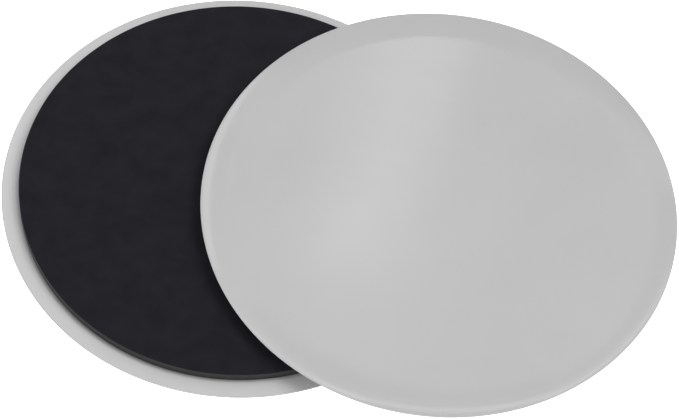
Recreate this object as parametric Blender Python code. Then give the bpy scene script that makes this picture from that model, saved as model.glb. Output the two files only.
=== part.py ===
"""A pair of round gliding discs for floor exercise, stored foam to foam.

Each disc is a moulded plastic plate. One side is a flat sliding face whose edge band curves away
from the floor. The other side carries an adhesive sheet, a foam pad and the pad's fabric face, with
a plain plastic rim left around them. The lower disc stands on its sliding face. The
upper disc is turned over, and it lies on the lower pad, moved along +X.

The origin is the centre of the lower disc's sliding face. Metres, +Z up.
"""

import math

import bmesh
import bpy
from mathutils import Matrix, Vector

# Plan sizes
DISC_RADIUS = 0.0890
SLIDING_FACE_RADIUS = 0.0766
BAND_END_RADIUS = 0.0862
PAD_RADIUS = 0.0823
ADHESIVE_RADIUS = 0.0815
DISC_OFFSET = 0.0757

# Heights above a disc's own sliding face
BAND_HEIGHT = 0.0010
WIDEST_HEIGHT = 0.0017
RIM_EDGE_HEIGHT = 0.0021
PLATE_HEIGHT = 0.0025
PAD_TOP_HEIGHT = 0.00715

# The plate's rim
RIM_EDGE_ROUNDING = 0.0006
PLATE_FLAT_RADIUS = 0.0831
RIM_STEPS = 3
EDGE_STEPS = 4
BAND_STEPS = 5
BAND_START_SLOPE = 0.22
BAND_END_SLOPE = 0.19

# Layers on the plate
ADHESIVE_THICKNESS = 0.0003
FABRIC_THICKNESS = 0.0006
CUT_EDGE = 0.0003
LAYER_GAP = 0.0003
DISC_GAP = 0.0003

SEGMENTS = 72
SHARP_ANGLE = math.radians(30.0)

PLASTIC_COLOUR = (0.52, 0.52, 0.52, 1.0)
ADHESIVE_COLOUR = (0.60, 0.58, 0.52, 1.0)
FOAM_COLOUR = (0.035, 0.035, 0.038, 1.0)
FABRIC_COLOUR = (0.018, 0.018, 0.021, 1.0)


def clear_scene():
    for item in list(bpy.data.objects):
        bpy.data.objects.remove(item, do_unlink=True)


def make_material(name, colour, roughness):
    material = bpy.data.materials.new(name)
    material.use_nodes = True
    shader = material.node_tree.nodes["Principled BSDF"]
    shader.inputs["Base Color"].default_value = colour
    shader.inputs["Roughness"].default_value = roughness
    shader.inputs["Metallic"].default_value = 0.0
    return material


def curved_run(start, end, start_slope, steps):
    """Points (radius, height) from start to end, whose slope grows evenly from a part of its mean."""
    points = []
    for step in range(steps + 1):
        along = step / steps
        share = start_slope * along + (1.0 - start_slope) * along ** 2
        radius = start[0] + (end[0] - start[0]) * along
        height = start[1] + (end[1] - start[1]) * share
        points.append((radius, height))
    return points


def eased_corner(start, start_slope, end, steps):
    """Points (radius, height) after start, which leave it at a slope and reach end upright."""
    turn = (end[0], start[1] + start_slope * (end[0] - start[0]))
    points = []
    for step in range(1, steps + 1):
        along = step / steps
        first, second, third = (1.0 - along) ** 2, 2.0 * along * (1.0 - along), along ** 2
        radius = first * start[0] + second * turn[0] + third * end[0]
        height = first * start[1] + second * turn[1] + third * end[1]
        points.append((radius, height))
    return points


def plate_profile():
    """The plate's half section, from the middle of its pad side down its edge to the sliding face."""
    rim_end = (DISC_RADIUS - RIM_EDGE_ROUNDING, RIM_EDGE_HEIGHT)
    rim = curved_run((PLATE_FLAT_RADIUS, PLATE_HEIGHT), rim_end, 0.5, RIM_STEPS)
    band_end = (BAND_END_RADIUS, BAND_HEIGHT)
    band = curved_run((SLIDING_FACE_RADIUS, 0.0), band_end, BAND_START_SLOPE, BAND_STEPS)
    edge = eased_corner(band_end, BAND_END_SLOPE, (DISC_RADIUS, WIDEST_HEIGHT), EDGE_STEPS)
    return [(0.0, PLATE_HEIGHT)] + rim + list(reversed(band + edge)) + [(0.0, 0.0)]


def slab_profile(radius, bottom, top, corner):
    """A round slab's half section, from its top centre to its bottom centre, with eased corners."""
    return [
        (0.0, top),
        (radius - corner, top),
        (radius, top - corner),
        (radius, bottom + corner),
        (radius - corner, bottom),
        (0.0, bottom),
    ]


def sheet_profile(radius, bottom, top):
    """A thin round sheet's half section, from its top centre to its bottom centre."""
    return [(0.0, top), (radius, top), (radius, bottom), (0.0, bottom)]


def turned_mesh(name, profile):
    """Turns a half section, given from its top centre to its bottom centre, into a closed mesh."""
    mesh = bpy.data.meshes.new(name)
    shape = bmesh.new()
    top_centre = shape.verts.new(Vector((0.0, 0.0, profile[0][1])))
    bottom_centre = shape.verts.new(Vector((0.0, 0.0, profile[-1][1])))
    rings = []
    for radius, height in profile[1:-1]:
        ring = []
        for segment in range(SEGMENTS):
            angle = 2.0 * math.pi * segment / SEGMENTS
            point = Vector((radius * math.cos(angle), radius * math.sin(angle), height))
            ring.append(shape.verts.new(point))
        rings.append(ring)
    for segment in range(SEGMENTS):
        following = (segment + 1) % SEGMENTS
        shape.faces.new((top_centre, rings[0][segment], rings[0][following]))
        shape.faces.new((bottom_centre, rings[-1][following], rings[-1][segment]))
        for upper, lower in zip(rings, rings[1:]):
            shape.faces.new((upper[segment], lower[segment], lower[following], upper[following]))
    shape.normal_update()
    shape.to_mesh(mesh)
    shape.free()
    mesh.shade_smooth()
    mesh.set_sharp_from_angle(angle=SHARP_ANGLE)
    return mesh


def layer_meshes():
    """The four layers of one disc, each a closed mesh in heights above the sliding face."""
    adhesive_bottom = PLATE_HEIGHT + LAYER_GAP
    adhesive_top = adhesive_bottom + ADHESIVE_THICKNESS
    foam_bottom = adhesive_top + LAYER_GAP
    fabric_bottom = PAD_TOP_HEIGHT - FABRIC_THICKNESS
    foam_top = fabric_bottom - LAYER_GAP
    profiles = {
        "plastic_disc": plate_profile(),
        "adhesive_sheet": sheet_profile(ADHESIVE_RADIUS, adhesive_bottom, adhesive_top),
        "foam_pad": slab_profile(PAD_RADIUS, foam_bottom, foam_top, CUT_EDGE),
        "fabric_face": slab_profile(PAD_RADIUS, fabric_bottom, PAD_TOP_HEIGHT, 0.5 * CUT_EDGE),
    }
    return {layer: turned_mesh(layer, profile) for layer, profile in profiles.items()}


def add_disc(disc, meshes, materials, placement):
    """Places one disc's layers under an empty at the centre of its sliding face."""
    holder = bpy.data.objects.new(f"{disc}_disc", None)
    bpy.context.collection.objects.link(holder)
    holder.matrix_world = placement
    for layer, mesh in meshes.items():
        piece = bpy.data.objects.new(f"{disc}_{layer}", mesh)
        bpy.context.collection.objects.link(piece)
        piece.parent = holder
        if not mesh.materials:
            mesh.materials.append(materials[layer])


def build():
    clear_scene()
    meshes = layer_meshes()
    materials = {
        "plastic_disc": make_material("moulded_plastic", PLASTIC_COLOUR, 0.25),
        "adhesive_sheet": make_material("adhesive", ADHESIVE_COLOUR, 0.5),
        "foam_pad": make_material("closed_cell_foam", FOAM_COLOUR, 0.85),
        "fabric_face": make_material("knit_fabric", FABRIC_COLOUR, 0.95),
    }
    stack_height = 2.0 * PAD_TOP_HEIGHT + DISC_GAP
    turned_over = Matrix.Rotation(math.pi, 4, "X")
    turned_over.translation = Vector((DISC_OFFSET, 0.0, stack_height))
    add_disc("lower", meshes, materials, Matrix.Identity(4))
    add_disc("upper", meshes, materials, turned_over)
    bpy.context.view_layer.update()


build()
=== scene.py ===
"""Looks for the pair of gliding discs: moulded plates, foam pads, knit faces, studio and camera.

Metres, +Z up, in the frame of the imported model. The lower disc lies on its sliding face with its pad
up. The upper disc is turned over on it, so that its sliding face is seen.
"""

import math

import bpy
import numpy as np
from mathutils import Matrix, Vector, noise


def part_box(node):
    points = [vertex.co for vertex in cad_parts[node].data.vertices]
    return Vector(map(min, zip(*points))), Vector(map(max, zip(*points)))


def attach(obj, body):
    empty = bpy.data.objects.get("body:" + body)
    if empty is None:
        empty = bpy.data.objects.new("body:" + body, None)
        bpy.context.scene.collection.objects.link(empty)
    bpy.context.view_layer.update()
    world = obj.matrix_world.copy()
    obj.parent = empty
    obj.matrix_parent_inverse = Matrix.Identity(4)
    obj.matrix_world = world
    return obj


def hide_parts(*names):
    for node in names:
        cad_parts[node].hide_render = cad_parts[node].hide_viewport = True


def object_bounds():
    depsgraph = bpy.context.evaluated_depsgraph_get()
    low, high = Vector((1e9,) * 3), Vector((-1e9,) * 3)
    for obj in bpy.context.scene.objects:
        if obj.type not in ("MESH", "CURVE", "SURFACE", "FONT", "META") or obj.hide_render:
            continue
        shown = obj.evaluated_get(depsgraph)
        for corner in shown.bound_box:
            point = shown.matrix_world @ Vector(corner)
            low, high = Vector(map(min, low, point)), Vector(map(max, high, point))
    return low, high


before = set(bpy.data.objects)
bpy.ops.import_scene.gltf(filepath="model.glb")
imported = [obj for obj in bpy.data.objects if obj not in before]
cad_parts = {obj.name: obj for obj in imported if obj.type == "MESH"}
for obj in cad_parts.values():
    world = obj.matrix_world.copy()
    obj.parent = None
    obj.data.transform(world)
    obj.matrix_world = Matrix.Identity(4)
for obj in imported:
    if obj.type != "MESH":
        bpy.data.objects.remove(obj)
cad_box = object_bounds()

MM = 0.001

# The plate's half section, measured from its sliding face
SLIDING_FACE_RADIUS = 76.6 * MM
BAND_END = (86.2 * MM, 1.0 * MM)
BAND_START_SLOPE = 0.22
BAND_END_SLOPE = 0.19
WIDEST_HEIGHT = 1.7 * MM
RIM_START_SLOPE = 0.5
RIM_EDGE_HEIGHT = 2.1 * MM
RIM_EDGE_ROUNDING = 0.6 * MM
PLATE_FLAT_RADIUS = 83.1 * MM

# Painted shade: a darker ring on the plate beside the pad, which deepens the pad's cast shadow there, as the
# lit shadow alone comes out too light
PAINTED_SHADE_WIDTH = 1.4 * MM
PAINTED_SHADE_SHARE = 0.45

# Pad
CONTACT_GAP = 0.02 * MM
FABRIC_EDGE_ROUNDING = 0.35 * MM
FOAM_EDGE_ROUNDING = 0.08 * MM
FOAM_UNDERCUT = 0.5 * MM
FOAM_DISH = 0.05 * MM
ADHESIVE_CLEARANCE = 0.1 * MM

# The pad's top face: its settling, its fall towards the edge, and its swells and ripples
PAD_SETTLING = 0.05 * MM
PAD_EDGE_START = 0.86
PAD_EDGE_FALL = 0.10 * MM
PAD_SWELLS_PER_METRE = 55.0
PAD_SWELL_HEIGHT = 0.035 * MM
PAD_RIPPLES_PER_METRE = 260.0
PAD_RIPPLE_HEIGHT = 0.012 * MM
NOISE_SEEDS = {"lower": 3.1, "upper": 7.7}

# How finely the turned pieces are divided
PLATE_SEGMENTS = 360
FABRIC_SEGMENTS = 420
CURVE_STEPS = 24
PLATE_RING_STEP = 8.0 * MM
FACE_RING_STEP = 4.0 * MM
PAINTED_SHADE_RING_STEP = 0.2 * MM
FOAM_RING_STEP = 2.0 * MM
FABRIC_RING_STEP = 1.5 * MM
HIDDEN_RING_STEP = 10.0 * MM
SHARP_ANGLE = math.radians(40.0)

# Colours, as grey levels; the pad side's grey is painted light: it is lighter so that the rim comes out
# brighter than the lights alone make it
PLASTIC_GREYS = (0.462, 0.486)
PAD_SIDE_PAINTED_LIGHT_GREY = 0.54
# Painted shade: the dark grey mixed into the ring beside the pad
PAINTED_SHADE_GREY = 0.05
FOAM_GREYS = (0.0105, 0.021)
KNIT_GREYS = (0.0107, 0.0195)
KNIT_BLUE = 1.33
LINT_GREY = 0.09
FILM_COLOURS = ((0.42, 0.40, 0.35, 1.0), (0.60, 0.58, 0.52, 1.0))

# Camera, from a perspective fit of the outlines in the photo
CAMERA_HEADING = math.radians(4.09)
CAMERA_ELEVATION = math.radians(57.45)
CAMERA_ROLL = math.radians(5.71)
CAMERA_DISTANCE = 0.9895
CAMERA_LENS_MM = 139.4
CAMERA_TARGET = Vector((38.74 * MM, -1.55 * MM, 1.65 * MM))

# Floor
FLOOR_RADIUS = 4.0
FLOOR_DROP = 0.05 * MM

# Lights
LIGHT_DISTANCE = 2.0
KEY_DISTANCE = 4.0
UP = Vector((0.0, 0.0, 1.0))


def smooth(values):
    """Eases values from 0 to 1 in and out."""
    return values * values * (3.0 - 2.0 * values)


# ---------------------------------------------------------------- discs

class Disc:
    """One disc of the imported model: where its sliding face is, and which way its pad points."""

    def __init__(self, name, pad_direction):
        self.name = name
        self.body = f"{name}_disc"
        self.pad_direction = pad_direction
        low, high = (Vector(corner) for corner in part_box(f"{name}_plastic_disc"))
        self.centre = 0.5 * (low + high)
        self.radius = 0.5 * (high.x - low.x)
        self.plate_height = high.z - low.z
        self.sliding_z = low.z if pad_direction > 0 else high.z
        self.adhesive_radius = self.layer("adhesive_sheet")[0]
        self.foam_radius, self.foam_bottom, self.foam_top = self.layer("foam_pad")
        self.fabric_radius, self.fabric_bottom, self.fabric_top = self.layer("fabric_face")

    def layer(self, layer):
        """A layer's radius and its lowest and highest heights above the sliding face."""
        low, high = (Vector(corner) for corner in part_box(f"{self.name}_{layer}"))
        heights = sorted(self.pad_direction * (z - self.sliding_z) for z in (low.z, high.z))
        return 0.5 * (high.x - low.x), heights[0], heights[1]

    def place(self, points):
        """Turns points in the disc's own frame, sliding face down, into points in the shared frame."""
        placed = np.array(points, dtype=float)
        placed[:, 1:] *= self.pad_direction
        placed[:, 0] += self.centre.x
        placed[:, 1] += self.centre.y
        placed[:, 2] += self.sliding_z
        return placed


def turned_piece(name, disc, profile, segments, raise_by=None):
    """A closed piece turned from a half section that runs from its top centre to its bottom centre.

    raise_by takes the points in the disc's own frame and returns how far each one moves up.
    """
    profile = np.array(profile)
    angles = np.arange(segments) * 2.0 * math.pi / segments
    inner = profile[1:-1]
    rings = np.empty((len(inner), segments, 3))
    rings[:, :, 0] = inner[:, :1] * np.cos(angles)
    rings[:, :, 1] = inner[:, :1] * np.sin(angles)
    rings[:, :, 2] = inner[:, 1:]
    points = np.vstack([[0.0, 0.0, profile[0, 1]], rings.reshape(-1, 3), [0.0, 0.0, profile[-1, 1]]])
    if raise_by is not None:
        points[:, 2] += raise_by(points)
    last = len(points) - 1
    faces = []
    for segment in range(segments):
        following = (segment + 1) % segments
        faces.append((0, 1 + segment, 1 + following))
        bottom = 1 + (len(inner) - 1) * segments
        faces.append((last, bottom + following, bottom + segment))
        for ring in range(len(inner) - 1):
            upper = 1 + ring * segments
            lower = upper + segments
            faces.append((upper + segment, lower + segment, lower + following, upper + following))
    mesh = bpy.data.meshes.new(name)
    mesh.from_pydata(disc.place(points).tolist(), [], faces)
    mesh.shade_smooth()
    mesh.set_sharp_from_angle(angle=SHARP_ANGLE)
    piece = bpy.data.objects.new(name, mesh)
    bpy.context.collection.objects.link(piece)
    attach(piece, disc.body)
    return piece


def curved_run(start, end, start_slope, steps):
    """Points (radius, height) from start to end, whose slope grows evenly from a part of its mean."""
    along = np.linspace(0.0, 1.0, steps + 1)
    share = start_slope * along + (1.0 - start_slope) * along ** 2
    radius = start[0] + (end[0] - start[0]) * along
    height = start[1] + (end[1] - start[1]) * share
    return list(zip(radius, height))


def level_run(inner, outer, height, step):
    """Points (radius, height) along a flat face, from inner to outer, about a step apart."""
    count = max(2, round((outer - inner) / step))
    return [(radius, height) for radius in np.linspace(inner, outer, count + 1)]


def rounded_corner(radius, height, rounding, towards_down, steps=6):
    """Points round a corner at (radius, height); the rounding takes the outline down or back in."""
    points = []
    for step in range(steps + 1):
        angle = 0.5 * math.pi * step / steps
        if towards_down:
            points.append((radius - rounding + rounding * math.sin(angle),
                           height - rounding + rounding * math.cos(angle)))
        else:
            points.append((radius - rounding + rounding * math.cos(angle),
                           height + rounding - rounding * math.sin(angle)))
    return points


def eased_corner(start, start_slope, end, steps):
    """Points from start, leaving at a slope, to end, where the outline is upright."""
    reach = end[0] - start[0]
    turn = (end[0], start[1] + start_slope * reach)
    points = []
    for step in range(1, steps + 1):
        along = step / steps
        weights = ((1.0 - along) ** 2, 2.0 * along * (1.0 - along), along ** 2)
        points.append(tuple(sum(weight * point[axis] for weight, point in zip(weights, (start, turn, end)))
                            for axis in (0, 1)))
    return points


def plate_profile(disc):
    """The plate's half section, from the middle of its pad side down its edge to the sliding face."""
    widest = (disc.radius, WIDEST_HEIGHT)
    seat = level_run(FACE_RING_STEP, disc.foam_radius - 0.5 * MM, disc.plate_height, PLATE_RING_STEP)
    beside = level_run(disc.foam_radius - 0.2 * MM, PLATE_FLAT_RADIUS - 0.1 * MM,
                       disc.plate_height, PAINTED_SHADE_RING_STEP)
    rim_end = (disc.radius - RIM_EDGE_ROUNDING, RIM_EDGE_HEIGHT)
    rim = curved_run((PLATE_FLAT_RADIUS, disc.plate_height), rim_end, RIM_START_SLOPE, CURVE_STEPS)
    pad_corner = []
    for step in range(1, 8):
        angle = math.radians(90.0 * step / 8)
        pad_corner.append((rim_end[0] + RIM_EDGE_ROUNDING * math.sin(angle),
                           WIDEST_HEIGHT + (RIM_EDGE_HEIGHT - WIDEST_HEIGHT) * math.cos(angle)))
    sliding_corner = eased_corner(BAND_END, BAND_END_SLOPE, widest, 20)
    band = curved_run((SLIDING_FACE_RADIUS, 0.0), BAND_END, BAND_START_SLOPE, CURVE_STEPS)
    face = level_run(FACE_RING_STEP, SLIDING_FACE_RADIUS - 0.6 * MM, 0.0, FACE_RING_STEP)
    return (
        [(0.0, disc.plate_height)]
        + seat + beside + rim + pad_corner
        + list(reversed(sliding_corner))
        + list(reversed(band))
        + list(reversed(face))
        + [(0.0, 0.0)]
    )


def slab_profile(radius, bottom, top, top_rounding, bottom_rounding, step):
    """A round slab's half section with rounded corners and evenly spaced rings on its top."""
    side_top = top - top_rounding
    side_bottom = bottom + bottom_rounding
    sides = [(radius, height) for height in np.linspace(side_top, side_bottom, 8)[1:-1]]
    return (
        [(0.0, top)]
        + level_run(step, radius - top_rounding - 0.1 * MM, top, step)
        + rounded_corner(radius, top, top_rounding, True)
        + sides
        + rounded_corner(radius, bottom, bottom_rounding, False)
        + list(reversed(level_run(HIDDEN_RING_STEP, radius - bottom_rounding - 0.1 * MM, bottom,
                                  HIDDEN_RING_STEP)))
        + [(0.0, bottom)]
    )


# ---------------------------------------------------------------- materials

class Nodes:
    """Short calls that build one material's node tree."""

    def __init__(self, name):
        self.material = bpy.data.materials.new(name)
        self.material.use_nodes = True
        self.tree = self.material.node_tree
        self.shader = self.tree.nodes["Principled BSDF"]
        self.place = self.add("ShaderNodeTexCoord").outputs["Object"]

    def add(self, kind, inputs=None, **settings):
        node = self.tree.nodes.new(kind)
        for name, value in settings.items():
            setattr(node, name, value)
        for name, value in (inputs or {}).items():
            self.put(node.inputs[name], value)
        return node

    def put(self, socket, value):
        if isinstance(value, bpy.types.NodeSocket):
            self.tree.links.new(value, socket)
        else:
            socket.default_value = value

    def math(self, operation, first, second=None):
        node = self.add("ShaderNodeMath", operation=operation)
        self.put(node.inputs[0], first)
        if second is not None:
            self.put(node.inputs[1], second)
        return node.outputs[0]

    def noise(self, scale, detail=2.0, roughness=0.5, place=None):
        inputs = {"Vector": place or self.place, "Scale": scale, "Detail": detail, "Roughness": roughness}
        return self.add("ShaderNodeTexNoise", inputs).outputs["Fac"]

    def stretched(self, scale, turn=0.0):
        inputs = {"Vector": self.place, "Scale": scale, "Rotation": (0.0, 0.0, turn)}
        return self.add("ShaderNodeMapping", inputs).outputs["Vector"]

    def spread(self, value, low, high, to_low, to_high):
        inputs = {"Value": value, "From Min": low, "From Max": high, "To Min": to_low, "To Max": to_high}
        return self.add("ShaderNodeMapRange", inputs).outputs["Result"]

    def between(self, factor, first, second):
        node = self.add("ShaderNodeMix", data_type="RGBA")
        self.put(node.inputs["Factor"], factor)
        self.put(node.inputs["A"], first)
        self.put(node.inputs["B"], second)
        return node.outputs["Result"]

    def bump(self, height, distance, strength=1.0, normal=None):
        inputs = {"Height": height, "Distance": distance, "Strength": strength}
        if normal is not None:
            inputs["Normal"] = normal
        return self.add("ShaderNodeBump", inputs).outputs["Normal"]

    def finish(self, **inputs):
        for name, value in inputs.items():
            self.put(self.shader.inputs[name.replace("_", " ").title().replace("Ior", "IOR")], value)
        return self.material


def grey(value, blue=1.0):
    """A grey colour, or a bluish one if blue is over 1."""
    return (value, value, value * blue, 1.0)


def plastic_material():
    """Glossy moulded ABS: mottling, waviness, hairline marks, a lighter pad side that is painted light, and a
    dark ring of painted shade beside the pad.
    """
    nodes = Nodes("moulded_abs")
    mottle = nodes.noise(scale=35.0, detail=3.0)
    flow = nodes.noise(scale=9.0, detail=1.0)
    tone = nodes.math("ADD", nodes.math("MULTIPLY", mottle, 0.5), nodes.math("MULTIPLY", flow, 0.5))
    clean = nodes.between(nodes.spread(tone, 0.35, 0.65, 0.0, 1.0), *map(grey, PLASTIC_GREYS))
    pad_side = nodes.add("ShaderNodeAttribute", attribute_name="pad_side").outputs["Fac"]
    painted_shade_beside_pad = nodes.add("ShaderNodeAttribute", attribute_name="painted_shade_beside_pad").outputs["Fac"]
    # Painted light and shade: the pad side is made lighter, and the ring beside the pad darker, in place of
    # light and shadow
    lighter = nodes.between(pad_side, clean, grey(PAD_SIDE_PAINTED_LIGHT_GREY))
    colour = nodes.between(nodes.math("MULTIPLY", painted_shade_beside_pad, PAINTED_SHADE_SHARE), lighter, grey(PAINTED_SHADE_GREY))
    hairline = nodes.noise(scale=900.0, detail=1.0, place=nodes.stretched((0.02, 1.0, 1.0), 0.6))
    marks = nodes.spread(hairline, 0.68, 0.72, 0.0, 1.0)
    skin = nodes.noise(scale=2600.0, detail=2.0)
    uneven = nodes.noise(scale=80.0, detail=3.0)
    polish = nodes.spread(uneven, 0.3, 0.7, 0.10, 0.135)
    roughness = nodes.math("ADD", polish, nodes.math("MULTIPLY", marks, 0.04))
    wave = nodes.bump(nodes.noise(scale=14.0, detail=1.0), 0.10 * MM)
    fine = nodes.bump(skin, 0.0012 * MM, normal=wave)
    scratched = nodes.bump(marks, 0.0008 * MM, strength=0.5, normal=fine)
    return nodes.finish(base_color=colour, roughness=roughness, normal=scratched, ior=1.5)


def foam_material():
    """The die-cut edge of black closed-cell foam: tiny cells, with a slightly skinned sheen."""
    nodes = Nodes("closed_cell_foam")
    cells = nodes.add("ShaderNodeTexVoronoi", {"Vector": nodes.place, "Scale": 2600.0}).outputs["Distance"]
    coarse = nodes.noise(scale=700.0, detail=3.0)
    colour = nodes.between(nodes.spread(coarse, 0.3, 0.7, 0.0, 1.0), *map(grey, FOAM_GREYS))
    pits = nodes.bump(cells, 0.06 * MM, strength=0.8)
    uneven = nodes.bump(coarse, 0.08 * MM, strength=0.6, normal=pits)
    return nodes.finish(base_color=colour, roughness=0.62, normal=uneven)


def knit_height(nodes, wale, course):
    """Rows of small chevron stitches: wale is the width of a column, course the height of a row."""
    split = nodes.add("ShaderNodeSeparateXYZ", {"Vector": nodes.place})
    across = nodes.math("FRACT", nodes.math("DIVIDE", split.outputs["X"], wale))
    from_middle = nodes.math("ABSOLUTE", nodes.math("SUBTRACT", across, 0.5))
    along = nodes.math("DIVIDE", split.outputs["Y"], course)
    slanted = nodes.math("ADD", along, nodes.math("MULTIPLY", from_middle, 1.6))
    yarn = nodes.math("COSINE", nodes.math("MULTIPLY", slanted, 2.0 * math.pi))
    to_side = nodes.math("POWER", nodes.math("MULTIPLY", from_middle, 2.0), 4.0)
    rounded = nodes.math("SUBTRACT", 1.0, to_side)
    return nodes.math("MULTIPLY", nodes.math("ADD", nodes.math("MULTIPLY", yarn, 0.5), 0.5), rounded)


def fabric_material():
    """Fine black nylon knit with a short nap and a few specks of lint."""
    nodes = Nodes("fine_knit")
    knit = knit_height(nodes, wale=0.42 * MM, course=0.34 * MM)
    nap = nodes.noise(scale=3500.0, detail=3.0)
    cloudy = nodes.noise(scale=120.0, detail=4.0, roughness=0.6)
    thread = nodes.between(knit, *(grey(level, KNIT_BLUE) for level in KNIT_GREYS))
    shade = nodes.spread(cloudy, 0.3, 0.7, 0.85, 1.15)
    toned = nodes.add("ShaderNodeVectorMath", operation="SCALE")
    nodes.put(toned.inputs[0], thread)
    nodes.put(toned.inputs["Scale"], shade)
    specks = nodes.add("ShaderNodeTexVoronoi", {"Vector": nodes.place, "Scale": 420.0})
    is_speck = nodes.math("LESS_THAN", specks.outputs["Distance"], 0.045)
    rare = nodes.math("GREATER_THAN", nodes.noise(scale=160.0, detail=0.0), 0.62)
    lint = nodes.math("MULTIPLY", nodes.math("MULTIPLY", is_speck, rare), 0.5)
    colour = nodes.between(lint, toned.outputs[0], grey(LINT_GREY))
    woven = nodes.bump(knit, 0.07 * MM, strength=0.8)
    fuzzy = nodes.bump(nap, 0.05 * MM, strength=0.5, normal=woven)
    nodes.finish(base_color=colour, roughness=0.92, normal=fuzzy, sheen_weight=0.03, sheen_roughness=0.5)
    nodes.put(nodes.shader.inputs["Specular IOR Level"], 0.12)
    return nodes.material


def adhesive_material():
    """Pale double-sided film, seen only as a line under the pad."""
    nodes = Nodes("adhesive_film")
    streaks = nodes.noise(scale=400.0, detail=3.0)
    colour = nodes.between(streaks, *FILM_COLOURS)
    return nodes.finish(base_color=colour, roughness=0.45, normal=nodes.bump(streaks, 0.02 * MM))


# ---------------------------------------------------------------- pieces

def unevenness(points, per_metre, height, seed):
    """Smooth random heights over the points, the same on each run."""
    heights = [noise.noise(Vector((x * per_metre, y * per_metre, seed))) for x, y, _ in points]
    return np.array(heights) * height


def pad_rise(disc, points):
    """How far the pad's top face moves: it falls a little towards its edge and is slightly uneven."""
    radius = np.hypot(points[:, 0], points[:, 1])
    to_edge = np.clip((radius / disc.fabric_radius - PAD_EDGE_START) / (1.0 - PAD_EDGE_START), 0.0, 1.0)
    seed = NOISE_SEEDS[disc.name]
    swells = unevenness(points, PAD_SWELLS_PER_METRE, PAD_SWELL_HEIGHT, seed)
    ripples = unevenness(points, PAD_RIPPLES_PER_METRE, PAD_RIPPLE_HEIGHT, seed)
    upper = np.clip((points[:, 2] - disc.foam_bottom) / (disc.fabric_bottom - disc.foam_bottom), 0.0, 1.0)
    return (-PAD_EDGE_FALL * smooth(to_edge) - PAD_SETTLING + swells + ripples) * upper


def add_plate(disc, material):
    """The moulded plate, marked for its material: which points are on the pad side, for its painted light,
    and by the pad, for its painted shade.
    """
    piece = turned_piece(f"{disc.name}_plate", disc, plate_profile(disc), PLATE_SEGMENTS)
    piece.data.materials.append(material)
    points = np.empty(len(piece.data.vertices) * 3)
    piece.data.vertices.foreach_get("co", points)
    points = points.reshape(-1, 3)
    radius = np.hypot(points[:, 0] - disc.centre.x, points[:, 1] - disc.centre.y)
    height = disc.pad_direction * (points[:, 2] - disc.sliding_z)
    # Painted shade: strongest at the foam's edge, fading out over a ring beside it
    near = np.clip(1.0 - (radius - disc.foam_radius) / PAINTED_SHADE_WIDTH, 0.0, 1.0)
    on_pad_side = height > RIM_EDGE_HEIGHT - 0.01 * MM
    for attribute, values in (("pad_side", 1.0 * on_pad_side), ("painted_shade_beside_pad", smooth(near) * on_pad_side)):
        piece.data.attributes.new(attribute, "FLOAT", "POINT").data.foreach_set("value", values)
    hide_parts(f"{disc.name}_plastic_disc")


def foam_profile(disc):
    """The pad's half section: its cut edge is slightly dished and goes down past the adhesive."""
    top = disc.fabric_bottom - CONTACT_GAP
    foot = disc.plate_height + CONTACT_GAP
    inside = disc.adhesive_radius + ADHESIVE_CLEARANCE
    wall_top = top - FOAM_EDGE_ROUNDING
    wall_bottom = foot + FOAM_UNDERCUT
    wall = []
    for along in np.linspace(0.0, 1.0, 14):
        dish = FOAM_DISH * math.sin(math.pi * along)
        radius = disc.fabric_radius + (disc.foam_radius - disc.fabric_radius) * along - dish
        wall.append((radius, wall_top + (wall_bottom - wall_top) * along))
    undercut = []
    for step in range(1, 6):
        angle = math.radians(90.0 * step / 5)
        undercut.append((disc.foam_radius - FOAM_UNDERCUT * (1.0 - math.cos(angle)),
                         wall_bottom - FOAM_UNDERCUT * math.sin(angle)))
    under = disc.foam_bottom
    return (
        [(0.0, top)]
        + level_run(FOAM_RING_STEP, disc.fabric_radius - 0.2 * MM, top, FOAM_RING_STEP)
        + [(disc.fabric_radius - 0.05 * MM, top - 0.02 * MM)]
        + wall
        + undercut
        + [(inside, foot), (inside, under)]
        + list(reversed(level_run(HIDDEN_RING_STEP, inside - 1.0 * MM, under, HIDDEN_RING_STEP)))
        + [(0.0, under)]
    )


def add_foam(disc, material):
    piece = turned_piece(f"{disc.name}_foam", disc, foam_profile(disc), PLATE_SEGMENTS,
                         lambda points: pad_rise(disc, points))
    piece.data.materials.append(material)
    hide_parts(f"{disc.name}_foam_pad")
    return piece


def add_fabric(disc, material):
    profile = slab_profile(disc.fabric_radius, disc.fabric_bottom, disc.fabric_top,
                           FABRIC_EDGE_ROUNDING, 0.05 * MM, FABRIC_RING_STEP)
    piece = turned_piece(f"{disc.name}_knit", disc, profile, FABRIC_SEGMENTS,
                         lambda points: pad_rise(disc, points))
    piece.data.materials.append(material)
    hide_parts(f"{disc.name}_fabric_face")


def finish_adhesive(disc, material):
    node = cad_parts[f"{disc.name}_adhesive_sheet"]
    node.data.materials.clear()
    node.data.materials.append(material)


# ---------------------------------------------------------------- studio

def camera_axes():
    """The directions to the right of the camera, up and ahead, before the camera is rolled."""
    level = math.cos(CAMERA_ELEVATION)
    ahead = Vector((-math.sin(CAMERA_HEADING) * level, math.cos(CAMERA_HEADING) * level,
                    -math.sin(CAMERA_ELEVATION)))
    right = Vector((math.cos(CAMERA_HEADING), math.sin(CAMERA_HEADING), 0.0))
    return right, right.cross(ahead), ahead


def direction(azimuth, elevation):
    """The unit vector towards a light: azimuth in degrees from +Y towards +X, elevation up."""
    turn, rise = math.radians(azimuth), math.radians(elevation)
    return Vector((math.sin(turn) * math.cos(rise), math.cos(turn) * math.cos(rise), math.sin(rise)))


def mirrored(right_by, up_by):
    """Towards a light this many degrees right of and above what the level face mirrors to the camera.

    The second vector runs round that mirrored direction there.
    """
    right, _, ahead = camera_axes()
    middle = Vector((ahead.x, ahead.y, -ahead.z))
    up = right.cross(middle)
    away = math.hypot(right_by, up_by)
    outwards = (right * right_by + up * up_by) / away
    around = (up * right_by - right * up_by) / away
    return middle * math.cos(math.radians(away)) + outwards * math.sin(math.radians(away)), around


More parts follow.
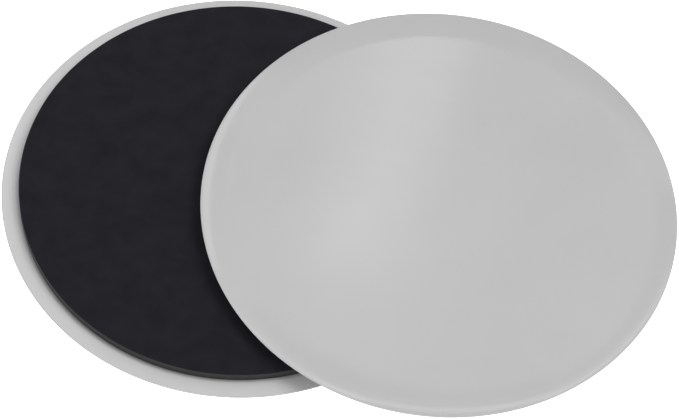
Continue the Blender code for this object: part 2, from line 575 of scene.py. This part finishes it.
def add_softbox(name, towards, along, size, radiance, distance=LIGHT_DISTANCE, glossy=True):
    """An area light that faces the discs, its first side along a line; radiance is its face's."""
    data = bpy.data.lights.new(name, "AREA")
    data.shape = "RECTANGLE"
    data.size, data.size_y = size
    data.energy = radiance * math.pi * size[0] * size[1]
    light = bpy.data.objects.new(name, data)
    light.visible_glossy = glossy
    bpy.context.collection.objects.link(light)
    middle = Vector((0.5 * (cad_box[0][0] + cad_box[1][0]), 0.0, 0.0))
    axes = Matrix((along, towards.cross(along), towards)).transposed()
    light.matrix_world = Matrix.Translation(middle + towards * distance) @ axes.to_4x4()


def add_panel(name, towards, tilt, size, radiance, **settings):
    """A softbox whose first side is level, or tilted out of level by some degrees."""
    along = Matrix.Rotation(math.radians(tilt), 3, towards) @ UP.cross(towards).normalized()
    add_softbox(name, towards, along, size, radiance, **settings)


def add_ring_strip(name, right_by, up_by, size, radiance):
    """A softbox that lies round the mirrored direction, and so along the glossy edge band."""
    towards, around = mirrored(right_by, up_by)
    add_softbox(name, towards, around, size, radiance)


def add_arc_strip(name, start, end, width, radiance):
    """A softbox that reaches from one azimuth and elevation to another."""
    first, last = direction(*start), direction(*end)
    length = 2.0 * LIGHT_DISTANCE * math.tan(0.5 * first.angle(last))
    add_softbox(name, (first + last).normalized(), (last - first).normalized(), (length, width), radiance)


def add_lights():
    """The key light gives the pad its shadow. Most others are seen in the glossy face and edge band.

    Directions are in degrees, picked from where the photo has its highlights and its shadow.
    """
    # In reflections the key light would put a bright wedge on the upper disc's near right band
    add_panel("key_panel", direction(92.0, 62.0), 0.0, (2.0, 2.0), 6.1, distance=KEY_DISTANCE, glossy=False)
    add_panel("back_panel", mirrored(4.0, 4.0)[0], 0.0, (1.1, 0.66), 0.5)
    add_panel("back_strip", mirrored(1.5, -2.5)[0], -11.0, (0.1, 0.34), 2.1)
    add_panel("back_strip_high", mirrored(0.5, 4.5)[0], -4.0, (0.08, 0.28), 0.4)
    add_ring_strip("right_back_panel", 23.5, -11.0, (0.26, 1.1), 0.7)
    add_arc_strip("left_strip", (-56.0, 58.0), (-26.0, 32.0), 0.18, 1.9)
    add_panel("left_panel", mirrored(-30.0, 0.0)[0], 35.0, (1.45, 1.45), 0.45)
    add_panel("left_side_panel", direction(-86.0, 19.0), 0.0, (1.45, 2.3), 0.6)
    add_ring_strip("overhead_strip", 3.2, 28.5, (1.3, 0.12), 2.2)
    add_ring_strip("right_strip", 28.0, 15.0, (1.0, 0.12), 2.1)
    add_ring_strip("left_high_strip", -16.0, 25.0, (0.9, 0.12), 2.0)
    add_panel("front_left_panel", direction(-155.0, 44.0), 0.0, (1.45, 1.85), 1.4)


def add_floor():
    """A pale floor that gives out light of its own, so that it is seen as plain white."""
    mesh = bpy.data.meshes.new("floor")
    corners = [(x, y, -FLOOR_DROP) for x, y in ((-1, -1), (1, -1), (1, 1), (-1, 1))]
    mesh.from_pydata([(x * FLOOR_RADIUS, y * FLOOR_RADIUS, z) for x, y, z in corners], [], [(0, 1, 2, 3)])
    floor = bpy.data.objects.new("floor", mesh)
    bpy.context.collection.objects.link(floor)
    nodes = Nodes("floor_white")
    nodes.finish(base_color=grey(0.9), roughness=0.7, emission_color=grey(1.0), emission_strength=1.0)
    mesh.materials.append(nodes.material)


def add_world(radiance):
    world = bpy.data.worlds.new("studio")
    world.use_nodes = True
    background = world.node_tree.nodes["Background"]
    background.inputs["Color"].default_value = grey(1.0)
    background.inputs["Strength"].default_value = radiance
    bpy.context.scene.world = world


def add_camera():
    data = bpy.data.cameras.new("camera")
    data.lens = CAMERA_LENS_MM
    data.sensor_width = 36.0
    data.clip_start = 0.01
    camera = bpy.data.objects.new("camera", data)
    bpy.context.collection.objects.link(camera)
    right, up, ahead = camera_axes()
    axes = Matrix((right, up, -ahead)).transposed()
    rolled = axes @ Matrix.Rotation(CAMERA_ROLL, 3, "Z")
    camera.matrix_world = Matrix.Translation(CAMERA_TARGET - ahead * CAMERA_DISTANCE) @ rolled.to_4x4()
    bpy.context.scene.camera = camera


add_camera()
add_floor()
add_world(0.3)
add_lights()
bpy.context.scene.view_settings.view_transform = "Standard"

plastic, foam_black, knit_black, film = (
    plastic_material(), foam_material(), fabric_material(), adhesive_material())
for each in (Disc("lower", 1.0), Disc("upper", -1.0)):
    add_plate(each, plastic)
    pad = add_foam(each, foam_black)
    add_fabric(each, knit_black)
    finish_adhesive(each, film)
